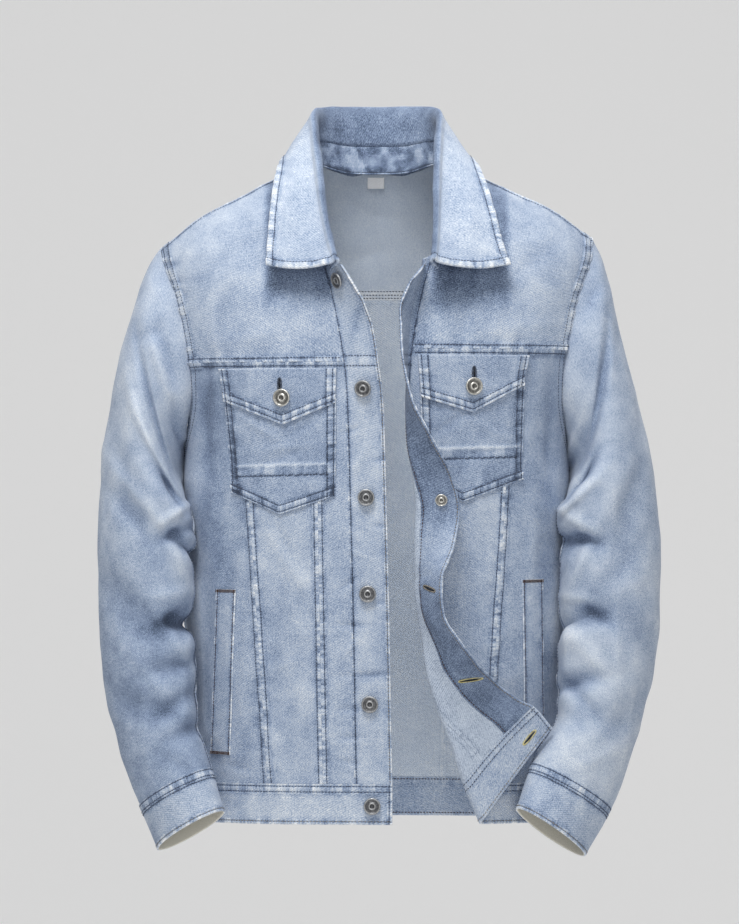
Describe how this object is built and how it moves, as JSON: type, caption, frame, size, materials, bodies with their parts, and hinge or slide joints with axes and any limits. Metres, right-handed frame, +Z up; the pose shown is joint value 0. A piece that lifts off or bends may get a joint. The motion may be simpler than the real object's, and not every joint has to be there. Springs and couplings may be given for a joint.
{
  "type": "denim jacket",
  "caption": "Washed denim trucker jacket filled out as if worn: turned collar, open front with one edge folded back, flap chest pockets, welt pockets, cuffs, waistband.",
  "frame": {"origin": "inside the yoke, level with the lower part of the neck opening, where the wearer's shoulders carry the jacket", "axes": "+Z up along the jacket from hem to collar, -Y the front, +X the wearer's left"},
  "size_m": [0.6063, 0.3107, 0.8086],
  "materials": {
    "denim": "stone washed twill, matte",
    "denim_shaded": "less faded inside face of the twill, matte",
    "denim_worn": "washed twill worn pale at its edges, matte",
    "button_metal": "aged silver-coloured metal",
    "label_cloth": "plain woven, blank"
  },
  "bodies": {
    "root": {"back_center": "denim", "back_side_left": "denim", "back_side_right": "denim", "back_yoke": "denim", "collar_leaf": "denim_worn", "collar_stand": "denim_shaded", "cuff_button_left": "button_metal", "cuff_button_right": "button_metal", "cuff_left": "denim", "cuff_right": "denim", "flap_button_left": "button_metal", "flap_button_right": "button_metal", "front_button_1": "button_metal", "front_button_2": "button_metal", "front_button_3": "button_metal", "front_button_4": "button_metal", "front_button_5": "button_metal", "front_button_6": "button_metal", "front_center_left": "denim", "front_center_right": "denim", "front_middle_left": "denim", "front_middle_right": "denim", "front_side_left": "denim", "front_side_right": "denim", "front_yoke_left": "denim", "front_yoke_right": "denim", "neck_label": "label_cloth", "placket_left": "denim_shaded", "placket_right": "denim_shaded", "placket_stud": "button_metal", "pocket_flap_left": "denim_worn", "pocket_flap_right": "denim_worn", "pocket_left": "denim", "pocket_right": "denim", "sleeve_under_left": "denim", "sleeve_under_right": "denim", "sleeve_upper_left": "denim", "sleeve_upper_right": "denim", "waistband_back": "denim", "waistband_left": "denim", "waistband_right": "denim", "welt_left": "denim", "welt_right": "denim"}
  },
  "joints": []
}
